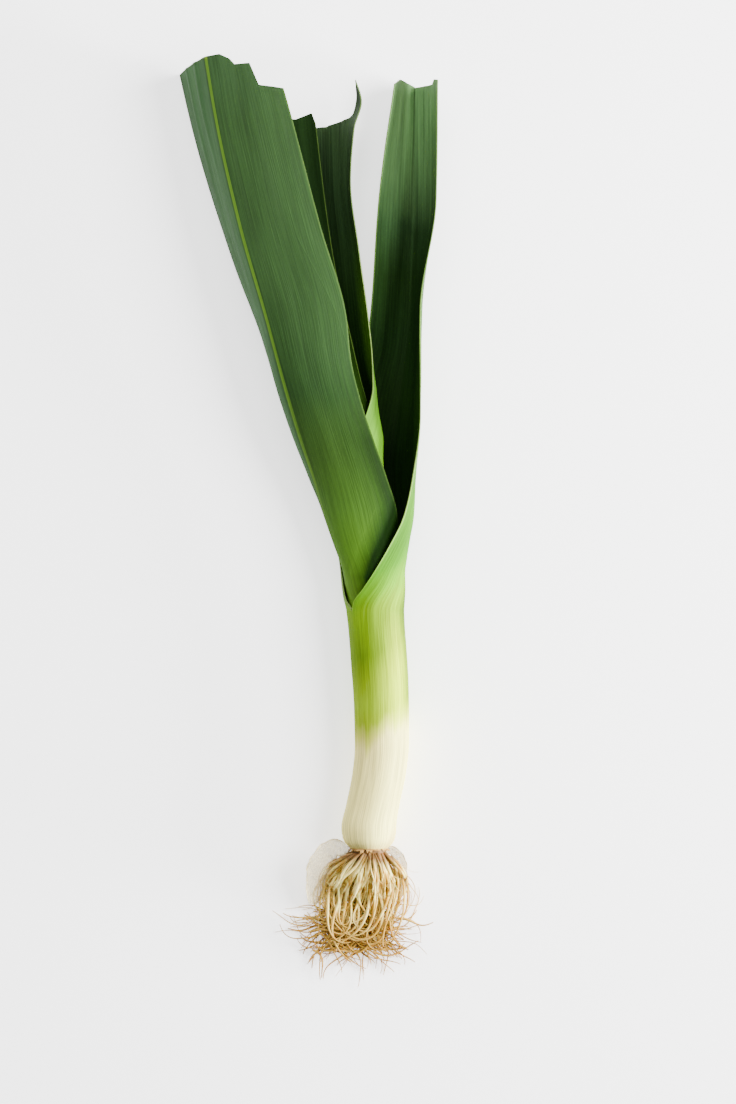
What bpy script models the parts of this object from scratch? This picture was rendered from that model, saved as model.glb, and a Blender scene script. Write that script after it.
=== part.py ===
"""A leek lying on a table: base plate and roots, five sheathing leaves and the heart.

The plant lies along +Y, roots towards -Y and cut leaf ends towards +Y, with +Z up. Every leaf is a
closed tube from the base plate up to its notch. Above the notch the tube opens, and the blade is
a folded sheet: two arcs that meet at the keel. Lengths are in millimetres until a mesh is made.
"""
import math
import random

import bmesh
import bpy
import numpy as np
from mathutils import Vector

MM = 0.001

# Driving dimensions, in millimetres.
SHAFT_RADIUS = 15.6
WALL = 1.5
GAP = 0.4
FLAT_DEPTH = 0.5
MARGIN_WALL = 0.9
OPEN_LENGTH = 30.0
PLANT_MIDDLE = (-33.0, 185.8)
# Rings of a blade: the first step past the notch, its growth from ring to ring and the longest step.
BLADE_STEP = (6.0, 1.18, 18.0)
# Outer line of the base plate below the leaves: distance along the plant and radius.
PLATE_RIM = [(-5.0, 5.2), (-3.6, 7.8), (-1.6, 9.2), (0.0, 9.3)]
PLATE_SIDES = 20
PLATE_GAP = 0.7
PLATE_STEP = 0.35
ROOT_COUNT = 42
ROOT_RING = 8.4
ROOT_LENGTH = (44.0, 72.0)
ROOT_RADIUS = 0.95
ROOT_TAPER = 0.4
ROOT_SIDES = 3
ROOT_STEPS = 9
# How far a root leans out, the heading they all share, how far a tip curls, and the height of the pile.
ROOT_SPREAD = 0.95
ROOT_DRIFT = -0.2
ROOT_CURL = (0.4, 2.4)
ROOT_PILE = 11.0
# How fast a root's lean turns back in, how fast it droops, its steepest slope, and the turn to the next.
ROOT_BOW = 2.7
ROOT_DROOP = 3.6
ROOT_STEEPEST = -1.25
GOLDEN_ANGLE = math.radians(137.5)
ARC_STEPS = 8
RIGHT_KEEL = -33.75
LEFT_KEEL = 146.25
# Rings of every tube; each layer further in starts one ring higher, on its own step of the base plate.
TUBE_RINGS = [0.35, 1.65, 2.9, 4.2, 5.6, 7.0, 11.0, 17.0, 28.0, 42.0, 58.0, 82.0, 107.0, 127.0, 137.0,
              147.0, 158.0, 171.0, 185.0, 199.0, 212.0, 225.0]
SEED = 38

# The shaft: distance along the plant, sideways place of its middle, radius over SHAFT_RADIUS.
SHAFT = [
    (0.0, 0.6, 0.60), (1.65, 0.5, 0.665), (3.85, 0.5, 0.79), (6.6, 0.5, 0.905), (12.0, 0.5, 0.975),
    (26.0, 3.0, 0.945), (42.0, 6.2, 0.95), (58.0, 7.7, 0.96), (80.0, 7.4, 0.975), (104.0, 6.1, 1.0),
    (131.0, 3.9, 1.0), (143.0, 2.4, 1.0), (155.0, 1.0, 1.0), (170.0, -0.2, 1.0), (190.0, -1.8, 1.0),
    (211.0, -3.4, 1.0), (235.0, -6.2, 1.0), (260.0, -9.2, 1.0),
]
# How far the shaft is off the table: at its rounded base, and where the inner leaves leave the outer one.
LIFT = [
    (0.0, 5.7), (1.65, 4.7), (3.85, 2.9), (6.6, 1.15), (12.0, 0.1), (20.0, 0.0), (118.0, 0.0),
    (140.0, 0.8), (165.0, 1.2), (200.0, 1.3), (260.0, 1.6),
]

# Each blade: rows of distance, keel, front margin, back margin, bulge of the front and back arcs.
LEAVES = {
    "leaf_1": {
        "layer": 0, "notch": 131.0, "keel_turn": RIGHT_KEEL, "color": (0.10, 0.20, 0.06),
        "rows": [
            (137.0, (17.6, 7.8), (-7.8, 28.2), (-12.8, 20.6), 0.47, 0.45),
            (143.0, (16.6, 6.6), (-3.4, 31.8), (-14.2, 18.5), 0.42, 0.38),
            (155.0, (16.8, 4.8), (4.6, 33.4), (-15.5, 7.6), 0.30, 0.20),
            (168.0, (15.6, 2.4), (12.2, 33.6), (-17.4, 3.0), 0.28, 0.08),
            (183.0, (13.6, 0.6), (19.6, 32.6), (-19.6, 0.6), 0.26, 0.02),
            (203.0, (12.6, 0.0), (24.4, 31.0), (-20.0, 0.0), 0.20, 0.0),
            (240.0, (17.0, 0.0), (29.0, 31.0), (-14.0, 0.2), 0.10, 0.0),
            (262.0, (20.0, 0.0), (28.9, 32.4), (-7.0, 2.0), 0.09, 0.02),
            (280.0, (22.6, 0.0), (28.7, 33.0), (-0.8, 8.5), 0.08, 0.08),
            (296.0, (24.2, 0.0), (28.9, 33.0), (1.2, 14.5), 0.08, 0.10),
            (357.0, (25.9, 0.0), (37.7, 29.0), (5.6, 21.0), 0.07, 0.08),
            (424.0, (25.9, 0.0), (38.7, 24.0), (14.5, 23.0), 0.06, 0.06),
        ],
        "floor": [(131.0, 0.0), (424.0, 0.0)],
        "ends": [(-1.0, 421.0), (-0.6, 424.5), (0.0, 421.0), (0.7, 421.3), (0.8, 424.0), (1.0, 423.3)],
        "cut_from": 380.0,
    },
    "leaf_2": {
        "layer": 1, "notch": 129.0, "keel_turn": LEFT_KEEL, "color": (0.075, 0.16, 0.05),
        "rows": [
            (143.0, (-11.1, 21.9), (15.9, 14.4), (14.6, 8.8), 0.45, 0.46),
            (155.0, (-13.9, 21.6), (16.4, 19.0), (10.6, 5.4), 0.36, 0.35),
            (166.0, (-18.0, 21.2), (16.6, 22.6), (8.0, 4.0), 0.32, 0.32),
            (183.0, (-23.8, 22.0), (16.2, 27.6), (4.0, 3.0), 0.24, 0.28),
            (205.0, (-30.2, 27.0), (10.2, 32.0), (-6.0, 2.4), 0.17, 0.25),
            (224.0, (-36.6, 31.6), (3.6, 33.6), (-14.0, 2.4), 0.13, 0.25),
            (247.0, (-43.6, 35.6), (-4.0, 34.0), (-27.0, 2.0), 0.11, 0.25),
            (270.0, (-50.2, 38.0), (-9.3, 33.2), (-46.0, 0.6), 0.09, 0.16),
            (293.0, (-56.5, 39.4), (-11.7, 31.8), (-62.0, 0.2), 0.07, 0.07),
            (342.0, (-70.4, 40.4), (-25.7, 31.0), (-81.0, 0.0), 0.05, 0.03),
            (398.0, (-83.1, 40.8), (-40.6, 31.0), (-97.5, 0.0), 0.05, 0.03),
            (438.0, (-89.6, 40.8), (-51.0, 31.0), (-107.0, 0.0), 0.05, 0.03),
        ],
        "floor": [(129.0, 1.4), (135.0, 2.1), (240.0, 2.1), (262.0, 0.0), (438.0, 0.0)],
        "ends": [(-1.0, 428.3), (-0.5, 431.0), (0.0, 434.3), (0.2, 435.8), (0.33, 433.4), (0.38, 430.5),
                 (0.6, 431.5), (0.66, 419.5), (1.0, 418.2)],
        "cut_from": 360.0,
    },
    "leaf_3": {
        "layer": 2, "notch": 214.0, "keel_turn": RIGHT_KEEL, "color": (0.07, 0.15, 0.045),
        "rows": [
            (219.5, (5.4, 9.6), (-11.6, 26.9), (-17.2, 18.6), 0.48, 0.45),
            (226.0, (2.8, 7.4), (-7.2, 29.4), (-18.8, 14.0), 0.45, 0.37),
            (240.0, (-5.0, 4.0), (-0.6, 28.2), (-25.0, 7.4), 0.36, 0.12),
            (255.0, (-11.0, 4.2), (3.0, 25.8), (-34.0, 6.2), 0.28, 0.04),
            (270.0, (-14.0, 4.4), (2.6, 25.0), (-39.0, 5.6), 0.20, 0.02),
            (290.0, (-16.0, 3.2), (0.7, 24.6), (-43.0, 5.0), 0.15, 0.02),
            (331.0, (-19.0, 1.2), (-4.8, 25.4), (-48.0, 4.0), 0.12, 0.0),
            (367.0, (-22.0, 0.6), (-9.2, 26.0), (-50.0, 3.4), 0.10, 0.0),
            (424.0, (-24.0, 0.2), (-5.0, 27.0), (-50.0, 3.0), 0.10, 0.0),
        ],
        "floor": [(214.0, 0.0), (424.0, 0.0)],
        "ends": [(-1.0, 396.0), (0.0, 399.5), (0.62, 403.0), (0.74, 409.0), (0.9, 421.0), (1.0, 423.0)],
        "cut_from": 372.0,
    },
    "leaf_4": {
        "layer": 3, "notch": 216.0, "keel_turn": LEFT_KEEL, "color": (0.07, 0.15, 0.045),
        "rows": [
            (222.0, (-13.6, 21.4), (5.0, 14.2), (3.2, 10.2), 0.47, 0.48),
            (228.0, (-15.2, 20.8), (4.7, 17.4), (3.2, 10.8), 0.37, 0.44),
            (240.0, (-20.0, 21.4), (1.4, 23.2), (-5.0, 6.4), 0.30, 0.38),
            (258.0, (-26.0, 22.4), (-3.8, 23.6), (-13.0, 6.8), 0.24, 0.32),
            (284.0, (-34.0, 25.0), (-9.8, 23.0), (-32.0, 7.4), 0.15, 0.32),
            (322.0, (-42.0, 27.0), (-18.2, 20.0), (-54.0, 4.4), 0.12, 0.10),
            (366.0, (-48.0, 27.0), (-24.8, 18.0), (-62.0, 2.0), 0.10, 0.06),
            (405.0, (-53.0, 27.0), (-29.4, 17.0), (-69.0, 2.0), 0.10, 0.05),
        ],
        "floor": [(216.0, 0.0), (405.0, 0.0)],
        "ends": [(-1.0, 396.0), (0.0, 402.0), (0.5, 401.5), (0.92, 405.5), (1.0, 399.5)],
        "cut_from": 366.0,
    },
    "leaf_5": {
        "layer": 4, "notch": 234.0, "keel_turn": RIGHT_KEEL, "color": (0.16, 0.27, 0.07),
        "rows": [
            (248.0, (-4.0, 11.4), (-10.0, 23.4), (-17.0, 15.6), 0.47, 0.42),
            (264.0, (-14.0, 9.2), (-11.6, 21.2), (-26.0, 15.0), 0.30, 0.20),
            (290.0, (-25.0, 8.4), (-18.0, 17.4), (-35.0, 17.0), 0.16, 0.12),
            (330.0, (-36.0, 7.4), (-28.0, 17.0), (-46.0, 17.0), 0.12, 0.10),
            (372.0, (-43.0, 7.4), (-36.0, 17.0), (-53.0, 17.0), 0.12, 0.10),
        ],
        "floor": [(234.0, 0.0), (372.0, 0.0)],
        "ends": [(-1.0, 366.0), (0.0, 371.0), (1.0, 368.0)],
        "cut_from": 340.0,
    },
}
HEART = {
    "layer": 5, "slack": 0.25, "sides": 14, "color": (0.45, 0.52, 0.16), "rings": [264.0, 288.0, 320.0],
    "rows": [
        (224.0, -4.9, 16.6, 5.4, 5.4), (240.0, -7.4, 16.9, 4.4, 4.4), (256.0, -12.6, 17.0, 3.4, 3.6),
        (276.0, -20.6, 16.4, 2.8, 3.2), (300.0, -28.8, 15.6, 2.4, 3.0), (338.0, -39.2, 15.2, 0.7, 0.8),
    ],
}
# The scrap of dry skin on the left of the roots: place of its middle line and its width.
SKIN_WALL = 0.7
SKIN = [
    (-6.4, -2.1, 14.6, 4.0), (-12.6, -2.0, 16.2, 5.0), (-19.0, 2.2, 17.0, 7.0), (-24.0, 2.4, 16.0, 9.0),
    (-28.4, -3.6, 13.6, 9.0), (-31.2, -12.0, 10.6, 8.0), (-33.0, -22.0, 7.6, 6.0), (-33.8, -30.0, 5.6, 3.0),
]


def slopes(t, values):
    """Slopes for a cubic through the values that never overshoots them."""
    step = np.diff(t)
    rise = np.diff(values) / step
    inner = np.zeros(len(values))
    inner[0] = rise[0]
    inner[-1] = rise[-1]
    for i in range(1, len(values) - 1):
        if rise[i - 1] * rise[i] > 0:
            a = 2 * step[i] + step[i - 1]
            b = step[i] + 2 * step[i - 1]
            inner[i] = (a + b) / (a / rise[i - 1] + b / rise[i])
    return inner


def smooth(table, y):
    """Smooth value or values of a table of rows (distance, value, ...) at distance y."""
    rows = np.array(table, dtype=float)
    t = rows[:, 0]
    y = min(max(y, t[0]), t[-1])
    i = min(int(np.searchsorted(t, y, side="right")) - 1, len(t) - 2)
    step = t[i + 1] - t[i]
    s = (y - t[i]) / step
    result = []
    for column in rows.T[1:]:
        slope = slopes(t, column)
        value = (column[i] * (1 + 2 * s) * (1 - s) ** 2 + slope[i] * step * s * (1 - s) ** 2
                 + column[i + 1] * s * s * (3 - 2 * s) + slope[i + 1] * step * s * s * (s - 1))
        result.append(value)
    return np.array(result)


def shaft_circle(y, layer):
    """Middle (x, z) and outer radius of a layer of the shaft."""
    middle_x, share = smooth(SHAFT, y)
    outer = SHAFT_RADIUS * share
    middle_z = outer - FLAT_DEPTH + smooth(LIFT, y)[0]
    return np.array([middle_x, middle_z]), outer - layer * (WALL + GAP)


def tube_row(y, layer, turn):
    """The closed tube written as a blade row: keel, both margins at the seam, two half circles."""
    middle, radius = shaft_circle(y, layer)
    out = radius * np.array([math.cos(math.radians(turn)), math.sin(math.radians(turn))])
    keel = middle + out
    seam = middle - out
    return (y, *keel, *seam, *seam, 0.5, 0.5)


def flat_row(row):
    y, keel, front, back, bulge_front, bulge_back = row
    return (y, *keel, *front, *back, bulge_front, bulge_back)


def arc(start, end, bulge, side, steps):
    """Points from start to end on a circular arc; bulge is its height over its chord."""
    chord = end - start
    out = side * np.array([chord[1], -chord[0]])
    if abs(bulge) < 1e-4:
        return [start + chord * i / steps for i in range(steps + 1)]
    half = 2 * math.atan(2 * bulge)
    centre = (start + end) / 2 + out * (bulge - 0.5 / math.sin(half))
    first = start - centre
    turn = side * 2 * half / steps
    points = []
    for i in range(steps + 1):
        c, s = math.cos(turn * i), math.sin(turn * i)
        points.append(centre + np.array([c * first[0] - s * first[1], s * first[0] + c * first[1]]))
    return points


def outline(row, side, steps):
    """Outer line of a leaf across itself, from the back margin over the keel to the front one."""
    keel, front, back = row[0:2], row[2:4], row[4:6]
    back_arc = arc(keel, back, row[7], -side, steps)
    front_arc = arc(keel, front, row[6], side, steps)
    return np.array(back_arc[::-1] + front_arc[1:])


def inward(points, closed, side):
    """Unit normals of a line towards the inside of its fold, stretched at corners."""
    before = np.roll(points, 1, axis=0)
    after = np.roll(points, -1, axis=0)
    if closed:
        before[0] = points[-2]
        after[-1] = points[1]
    else:
        before[0] = points[0]
        after[-1] = points[-1]
    normals = []
    for a, p, b in zip(before, points, after):
        first = p - a if np.linalg.norm(p - a) > 1e-9 else b - p
        second = b - p if np.linalg.norm(b - p) > 1e-9 else first
        first = first / np.linalg.norm(first)
        second = second / np.linalg.norm(second)
        middle = first + second
        middle = middle / np.linalg.norm(middle)
        normal = side * np.array([-middle[1], middle[0]])
        normals.append(normal / max(0.6, float(np.dot(middle, second))))
    return np.array(normals)


def wall_thickness(count, open_share):
    """Wall across a leaf: even in the tube, thinner towards the margins in the blade."""
    across = np.abs(np.linspace(-1, 1, count))
    return WALL + (MARGIN_WALL - WALL) * open_share * across ** 1.5


class Leaf:
    """One leaf, worked out on demand at any distance along the plant."""

    def __init__(self, spec):
        self.layer = spec["layer"]
        self.notch = spec["notch"]
        self.turn = spec["keel_turn"]
        self.side = 1 if math.cos(math.radians(self.turn)) > 0 else -1
        self.ends = spec["ends"]
        self.cut_from = spec["cut_from"]
        self.floor = spec["floor"]
        lead = [tube_row(self.notch - back, self.layer, self.turn) for back in (24.0, 12.0, 0.0)]
        self.rows = lead + [flat_row(row) for row in spec["rows"]]

    def row(self, y):
        if y <= self.notch:
            return np.array(tube_row(y, self.layer, self.turn)[1:])
        return smooth(self.rows, y)

    def outer(self, y, steps=ARC_STEPS):
        points = outline(self.row(y), self.side, steps)
        if y > self.notch or self.layer == 0:
            points[:, 1] = np.maximum(points[:, 1], smooth(self.floor, y)[0])
        return points

    def inner(self, y, steps=ARC_STEPS):
        closed = y <= self.notch
        points = outline(self.row(y), self.side, steps) if closed else self.outer(y, steps)
        open_share = min(max((y - self.notch) / OPEN_LENGTH, 0.0), 1.0)
        depth = wall_thickness(len(points), open_share)[:, None]
        points = points + inward(points, closed, self.side) * depth
        points[:, 1] = np.maximum(points[:, 1], 0.0)
        return points

    def end_at(self, across):
        table = self.ends
        return float(np.interp(across, [row[0] for row in table], [row[1] for row in table]))


def leaf_distances(leaf):
    """Distances of the rings: denser round the notch and the throat than in the shaft or blade."""
    tube = [y for y in TUBE_RINGS[leaf.layer:] if y < leaf.notch - 4] + [leaf.notch]
    y = leaf.notch
    longest = max(row[1] for row in leaf.ends)
    step, growth, longest_step = BLADE_STEP
    blade = []
    while y + step < leaf.cut_from:
        y += step
        blade.append(y)
        step = min(step * growth, longest_step)
    shares = [leaf.cut_from + (longest - leaf.cut_from) * share for share in (0.0, 0.25, 0.5, 0.75, 1.0)]
    return tube + blade + shares


def at_ring(leaf, line, y, across):
    """The leaf's ring at distance y, slid so that its last one follows the cut end."""
    longest = max(row[1] for row in leaf.ends)
    points = []
    for j, share in enumerate(across):
        along = y
        if y > leaf.cut_from:
            reach = (leaf.end_at(share) - leaf.cut_from) / (longest - leaf.cut_from)
            along = leaf.cut_from + (y - leaf.cut_from) * reach
        x, z = line(along)[j]
        points.append((x, along, z))
    return points


def to_world(point):
    x, y, z = point
    return Vector(((x - PLANT_MIDDLE[0]) * MM, (y - PLANT_MIDDLE[1]) * MM, z * MM))


def leaf_mesh(leaf):
    """A closed shell: outer and inner skins joined at the base ring, the margins and the cut end."""
    mesh = bmesh.new()
    count = 2 * ARC_STEPS
    across = np.linspace(-1, 1, count + 1)
    distances = leaf_distances(leaf)
    skins = []
    for line in (leaf.outer, leaf.inner):
        rings = []
        for y in distances:
            points = at_ring(leaf, line, y, across)
            ring = [mesh.verts.new(to_world(point)) for point in points[:-1]]
            closing = ring[0] if y <= leaf.notch else mesh.verts.new(to_world(points[-1]))
            rings.append(ring + [closing])
        skins.append(rings)
    outer, inner = skins
    for i in range(len(distances) - 1):
        for j in range(count):
            for rings in skins:
                a, b = rings[i][j], rings[i][j + 1]
                c, d = rings[i + 1][j + 1], rings[i + 1][j]
                add_pair(mesh, a, b, c, d)
        if distances[i] >= leaf.notch:
            for j in (0, count):
                add_face(mesh, outer[i][j], outer[i + 1][j], inner[i + 1][j], inner[i][j])
    for i in (0, len(distances) - 1):
        for j in range(count):
            add_face(mesh, outer[i][j], outer[i][j + 1], inner[i][j + 1], inner[i][j])
    bmesh.ops.recalc_face_normals(mesh, faces=mesh.faces)
    return mesh


def add_face(mesh, *corners):
    different = list(dict.fromkeys(corners))
    if len(different) > 2:
        mesh.faces.new(different)


def add_pair(mesh, a, b, c, d):
    """Two triangles for one quad, cut along the same diagonal on both skins."""
    add_face(mesh, a, b, c)
    add_face(mesh, a, c, d)


def heart_mesh():
    """The solid young spear in the middle of the shaft, round below and flattened at its tip."""
    mesh = bmesh.new()
    sides = HEART["sides"]
    lead = []
    for y in TUBE_RINGS[HEART["layer"]:-1]:
        middle, radius = shaft_circle(y, HEART["layer"])
        radius -= HEART["slack"]
        lead.append((y, middle[0], middle[1], radius, radius))
    rows = lead + HEART["rows"]
    distances = [row[0] for row in rows] + HEART["rings"]
    rings = []
    for y in sorted(distances):
        x, z, wide, tall = smooth(rows, y)
        ring = []
        for k in range(sides):
            angle = 2 * math.pi * k / sides
            point = (x + wide * math.cos(angle), y, z + tall * math.sin(angle))
            ring.append(mesh.verts.new(to_world(point)))
        rings.append(ring)
    for first, second in zip(rings, rings[1:]):
        for k in range(sides):
            mesh.faces.new((first[k], first[(k + 1) % sides], second[(k + 1) % sides], second[k]))
    mesh.faces.new(rings[0])
    mesh.faces.new(rings[-1])
    bmesh.ops.recalc_face_normals(mesh, faces=mesh.faces)
    return mesh


def plate_mesh():
    """The base plate: a turned block with a step inside the foot of each leaf, one above the other."""
    mesh = bmesh.new()
    sides = PLATE_SIDES
    profile = list(PLATE_RIM)
    for layer in range(HEART["layer"]):
        _, radius = shaft_circle(TUBE_RINGS[layer], layer)
        radius -= WALL + PLATE_GAP
        profile += [(profile[-1][0], radius), (TUBE_RINGS[layer + 1] - PLATE_STEP, radius)]
    middle, _ = shaft_circle(0.0, 0)
    rings = []
    for y, radius in profile:
        ring = []
        for k in range(sides):
            angle = 2 * math.pi * k / sides
            point = (middle[0] + radius * math.cos(angle), y, middle[1] + radius * math.sin(angle))
            ring.append(mesh.verts.new(to_world(point)))
        rings.append(ring)
    for first, second in zip(rings, rings[1:]):
        for k in range(sides):
            mesh.faces.new((first[k], first[(k + 1) % sides], second[(k + 1) % sides], second[k]))
    mesh.faces.new(rings[0])
    mesh.faces.new(rings[-1])
    bmesh.ops.recalc_face_normals(mesh, faces=mesh.faces)
    return mesh


def root_path(draw, index):
    """One root: it bows out of the plate, droops to the table, comes back in and curls at its end."""
    middle, _ = shaft_circle(0.0, 0)
    ring = math.sqrt((index + 0.5) / ROOT_COUNT)
    angle = index * GOLDEN_ANGLE
    sideways = ring * math.cos(angle)
    upwards = ring * math.sin(angle)
    point = np.array([middle[0] + ROOT_RING * sideways, -1.4 - 2.2 * (1 - ring),
                      middle[1] + ROOT_RING * upwards])
    step = draw.uniform(*ROOT_LENGTH) / ROOT_STEPS
    lean = ROOT_SPREAD * sideways + draw.uniform(-0.25, 0.25)
    rise = 0.6 * upwards + draw.uniform(-0.1, 0.2)
    curl = draw.choice((-1, 1, -1 if lean > 0 else 1)) * draw.uniform(*ROOT_CURL)
    curl_from = draw.uniform(0.5, 0.75)
    lowest = ROOT_RADIUS + draw.uniform(0.05, 0.5)
    rest = lowest + ROOT_PILE * draw.random() ** 1.4
    points = [point]
    for i in range(ROOT_STEPS):
        share = (i + 1) / ROOT_STEPS
        heading = ROOT_DRIFT + lean * math.cos(ROOT_BOW * share)
        heading += curl * max(0.0, (share - curl_from) / (1 - curl_from)) ** 1.3
        rise = next_rise(rise, point[2] - rest)
        flat = math.cos(rise)
        stride = np.array([math.sin(heading) * flat, -math.cos(heading) * flat, math.sin(rise)])
        point = point + step * stride
        point[2] = max(point[2], lowest)
        points.append(point)
    return points


def next_rise(rise, above):
    """Slope of the next stretch of a root: it droops while it is above its place in the pile."""
    if above <= 0:
        return -above / 20.0
    return max(rise - ROOT_DROOP / ROOT_STEPS, -0.15 - above / 9.0, ROOT_STEEPEST)


def tube_along(points, thickness, sides):
    """A closed tube of few sides round a path, thinner towards its end."""
    mesh = bmesh.new()
    rings = []
    for i, point in enumerate(points):
        ahead = points[min(i + 1, len(points) - 1)] - points[max(i - 1, 0)]
        ahead = ahead / np.linalg.norm(ahead)
        across = np.cross(ahead, np.array([0.0, 0.0, 1.0]))
        across = across / np.linalg.norm(across)
        up = np.cross(across, ahead)
        radius = thickness * (1.0 - ROOT_TAPER * i / (len(points) - 1))
        ring = []
        for k in range(sides):
            angle = 2 * math.pi * (k + 0.25) / sides
            ring.append(mesh.verts.new(to_world(point + radius * (math.cos(angle) * across
                                                                  + math.sin(angle) * up))))
        rings.append(ring)
    for first, second in zip(rings, rings[1:]):
        for k in range(sides):
            mesh.faces.new((first[k], first[(k + 1) % sides], second[(k + 1) % sides], second[k]))
    mesh.faces.new(rings[0])
    mesh.faces.new(rings[-1])
    bmesh.ops.recalc_face_normals(mesh, faces=mesh.faces)
    return mesh


def skin_mesh():
    """The scrap of dry outer skin: a thin strip that leaves the plate's left rim and curls down."""
    mesh = bmesh.new()
    last = len(SKIN) - 1
    skins = []
    for side in (1, -1):
        rings = []
        for i, (x, y, z, wide) in enumerate(SKIN):
            ahead = np.subtract(SKIN[min(i + 1, last)][:2], SKIN[max(i - 1, 0)][:2])
            ahead = ahead / np.linalg.norm(ahead)
            x += side * SKIN_WALL / 2 * ahead[1]
            y -= side * SKIN_WALL / 2 * ahead[0]
            rings.append([mesh.verts.new(to_world((x, y, z + wide * share))) for share in
                          (-0.5, -0.17, 0.17, 0.5)])
        skins.append(rings)
    outer, inner = skins
    for i in range(last):
        for k in range(3):
            for rings in skins:
                add_pair(mesh, rings[i][k], rings[i][k + 1], rings[i + 1][k + 1], rings[i + 1][k])
        for k in (0, 3):
            add_face(mesh, outer[i][k], outer[i + 1][k], inner[i + 1][k], inner[i][k])
    for i in (0, last):
        for k in range(3):
            add_face(mesh, outer[i][k], outer[i][k + 1], inner[i][k + 1], inner[i][k])
    bmesh.ops.recalc_face_normals(mesh, faces=mesh.faces)
    return mesh


def make_material(name, color, roughness):
    material = bpy.data.materials.new(name)
    material.use_nodes = True
    shader = material.node_tree.nodes["Principled BSDF"]
    shader.inputs["Base Color"].default_value = (*color, 1.0)
    shader.inputs["Roughness"].default_value = roughness
    shader.inputs["Metallic"].default_value = 0.0
    material.diffuse_color = (*color, 1.0)
    return material


def make_object(name, mesh, material, collection):
    data = bpy.data.meshes.new(name)
    mesh.to_mesh(data)
    mesh.free()
    data.materials.append(material)
    piece = bpy.data.objects.new(name, data)
    collection.objects.link(piece)
    return piece


def build_leaves(collection):
    for name, spec in LEAVES.items():
        material = make_material(name, spec["color"], 0.45)
        piece = make_object(name, leaf_mesh(Leaf(spec)), material, collection)
        piece.data.shade_smooth()
        piece.data.set_sharp_from_angle(angle=math.radians(40))
    heart = make_object("heart_leaf", heart_mesh(), make_material("heart_leaf", HEART["color"], 0.45),
                        collection)
    heart.data.shade_smooth()
    heart.data.set_sharp_from_angle(angle=math.radians(40))


def build_roots(collection):
    """The base plate with every root and the scrap of skin fused to it in one union."""
    draw = random.Random(SEED)
    material = make_material("root_tuft", (0.80, 0.62, 0.33), 0.75)
    plate = make_object("root_tuft", plate_mesh(), material, collection)
    strands = bpy.data.collections.new("strands")
    bpy.context.scene.collection.children.link(strands)
    for index in range(ROOT_COUNT):
        strand = tube_along(root_path(draw, index), ROOT_RADIUS, ROOT_SIDES)
        make_object("strand", strand, material, strands)
    make_object("skin", skin_mesh(), material, strands)
    union = plate.modifiers.new("union", "BOOLEAN")
    union.operation = "UNION"
    union.operand_type = "COLLECTION"
    union.collection = strands
    union.solver = "MANIFOLD"
    bpy.context.view_layer.objects.active = plate
    bpy.ops.object.modifier_apply(modifier=union.name)
    for strand in list(strands.objects):
        bpy.data.objects.remove(strand)
    bpy.data.collections.remove(strands)


def main():
    for old in list(bpy.data.objects):
        bpy.data.objects.remove(old)
    collection = bpy.context.scene.collection
    build_leaves(collection)
    build_roots(collection)


main()
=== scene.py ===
import random
from math import atan2, cos, pi, radians, sin, sqrt

import bmesh
import bpy
import numpy as np
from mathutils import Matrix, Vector, noise


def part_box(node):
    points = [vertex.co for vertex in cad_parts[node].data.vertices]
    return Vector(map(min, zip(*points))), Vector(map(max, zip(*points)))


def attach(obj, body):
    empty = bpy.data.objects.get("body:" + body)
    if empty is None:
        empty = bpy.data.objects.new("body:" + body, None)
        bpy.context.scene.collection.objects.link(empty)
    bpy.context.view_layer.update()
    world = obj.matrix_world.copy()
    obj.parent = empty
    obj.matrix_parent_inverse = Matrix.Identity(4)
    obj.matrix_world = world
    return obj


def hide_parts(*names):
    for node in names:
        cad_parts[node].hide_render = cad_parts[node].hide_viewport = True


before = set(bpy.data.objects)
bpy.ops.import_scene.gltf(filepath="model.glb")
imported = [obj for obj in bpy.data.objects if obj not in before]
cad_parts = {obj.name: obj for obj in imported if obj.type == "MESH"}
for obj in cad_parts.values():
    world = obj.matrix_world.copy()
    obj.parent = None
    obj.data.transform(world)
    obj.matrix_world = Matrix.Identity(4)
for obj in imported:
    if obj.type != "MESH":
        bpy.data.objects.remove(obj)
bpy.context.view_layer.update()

mm = 0.001

# The plant lies along Y: its own millimetres start at the base plate and are set against leaf_1's box.
plant = {"widest": 38.7, "firstRing": 0.35}
leafLow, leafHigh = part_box("leaf_1")
plantX = leafHigh[0] / mm - plant["widest"]
plantY = leafLow[1] / mm - plant["firstRing"]

# The shaft that every leaf wraps: distance, sideways place of its middle, share of the full radius.
shaft = {
    "radius": 15.6, "wall": 1.5, "gap": 0.4, "flat": 0.5,
    "line": [(0, 0.6, 0.6), (1.65, 0.5, 0.735), (3.85, 0.5, 0.86), (6.6, 0.5, 0.93), (12, 0.5, 0.975),
             (26, 3, 0.945), (42, 6.2, 0.95), (58, 7.7, 0.96), (80, 7.4, 0.975), (104, 6.1, 1),
             (131, 3.9, 1), (143, 2.4, 1), (155, 1, 1), (170, -0.2, 1), (190, -1.8, 1), (211, -3.4, 1),
             (235, -6.2, 1), (260, -9.2, 1)],
    "lift": [(0, 5.7), (1.65, 3.6), (3.85, 1.85), (6.6, 0.8), (12, 0.1), (20, 0), (118, 0), (140, 0.8),
             (165, 1.2), (200, 1.3), (260, 1.6)],
    "feet": [0.35, 1.65, 2.9, 4.2, 5.6, 7],
    "rings": [0.35, 0.7, 1.1, 1.65, 2.2, 2.9, 3.5, 4.2, 4.9, 5.6, 6.3, 7, 8, 9.2, 10.6, 12.2, 14, 16, 18,
              21, 24, 27, 30, 34, 38, 42, 46, 50, 54, 58, 63, 69, 75, 81, 88, 95, 102, 109, 115, 120, 125,
              130, 136, 142, 149, 156, 163, 170, 178, 186, 194, 202, 209, 215, 221, 227],
}

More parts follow.
